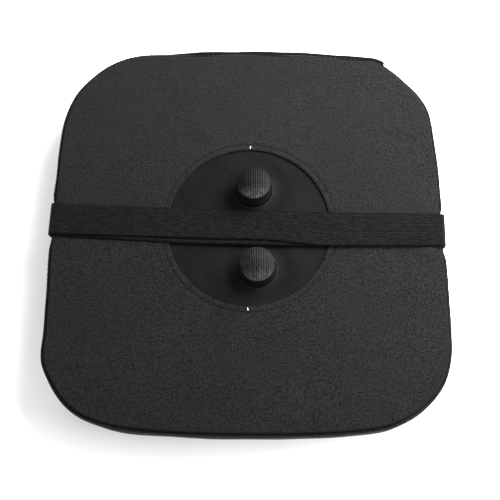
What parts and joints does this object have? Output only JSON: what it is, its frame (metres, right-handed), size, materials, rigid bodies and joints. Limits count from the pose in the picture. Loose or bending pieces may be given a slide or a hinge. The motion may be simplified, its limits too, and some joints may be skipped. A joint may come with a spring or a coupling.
{
  "type": "lumbar support cushion",
  "caption": "Rounded-square lumbar cushion with sprung massage nodes in a round stretch inset, an elastic chair strap and a zip cover.",
  "frame": {"origin": "middle of the plain side's flat rest, under the centre of the cushion's outline", "axes": "+Z out of the node and strap side, +Y towards the cushion's zipped top edge, +X to the right as the node side is seen"},
  "size_m": [0.4038, 0.4035, 0.084],
  "materials": {
    "cover_fabric": "satin charcoal fine weave",
    "stretch_knit": "fine ribbed stretch knit",
    "strap_elastic": "lengthwise ribbed elastic",
    "black_thread": "matte thread",
    "white_thread": "matte thread",
    "foam": "open-cell foam",
    "core_plastic": "moulded matte",
    "screw_steel": "zinc plated",
    "zip_tape": "woven tape",
    "zip_coil": "moulded nylon coil",
    "zip_metal": "black enamel"
  },
  "bodies": {
    "root": {"cover_node_panel": "cover_fabric", "cover_gusset": "cover_fabric", "cover_plain_panel": "cover_fabric", "opening_hem": "cover_fabric", "opening_topstitch": "black_thread", "opening_thread_ends": "white_thread", "inset_panel": "stretch_knit", "inset_backing_pad": "foam", "node_upper_collar": "stretch_knit", "node_lower_collar": "stretch_knit", "node_upper_pad": "foam", "node_lower_pad": "foam", "carrier_base": "core_plastic", "carrier_guide_plate": "core_plastic", "carrier_screws": "screw_steel", "foam_core": "foam", "zip_flap": "cover_fabric", "zip_tape_front": "zip_tape", "zip_tape_rear": "zip_tape", "zip_coil_front": "zip_coil", "zip_coil_rear": "zip_coil", "zip_stops": "zip_metal", "strap_top_left": "strap_elastic", "strap_top_right": "strap_elastic", "strap_under_left": "strap_elastic", "strap_under_right": "strap_elastic", "strap_tack_left": "black_thread", "strap_tack_right": "black_thread"},
    "node_upper": {"node_upper_cap": "stretch_knit", "node_upper_core": "core_plastic"},
    "node_lower": {"node_lower_cap": "stretch_knit", "node_lower_core": "core_plastic"},
    "strap_span": {"strap_top_span": "strap_elastic", "strap_under_span": "strap_elastic"},
    "zip_slider": {"zip_slider": "zip_metal"},
    "zip_pull": {"zip_pull_tab": "zip_metal"}
  },
  "joints": [
    {"name": "node_upper_press", "type": "slide", "parent": "root", "child": "node_upper", "axis": [0, 0, 1], "range_m": [-0.008, 0], "stiffness_N_per_m": 2500, "deforming": ["node_upper_pad"]},
    {"name": "node_lower_press", "type": "slide", "parent": "root", "child": "node_lower", "axis": [0, 0, 1], "range_m": [-0.008, 0], "stiffness_N_per_m": 2500, "deforming": ["node_lower_pad"]},
    {"name": "strap_lift", "type": "slide", "parent": "root", "child": "strap_span", "axis": [0, 0, 1], "range_m": [0, 0.06], "stiffness_N_per_m": 150},
    {"name": "zip_travel", "type": "hinge", "parent": "root", "child": "zip_slider", "pos_m": [0, -1.6025, 0.044], "axis": [0, 0, 1], "range_deg": [0, 5.6]},
    {"name": "zip_pull_turn", "type": "hinge", "parent": "zip_slider", "child": "zip_pull", "pos_m": [0.088, 0.19905, 0.044], "axis": [0, 0, 1], "range_deg": [0, 150]}
  ]
}
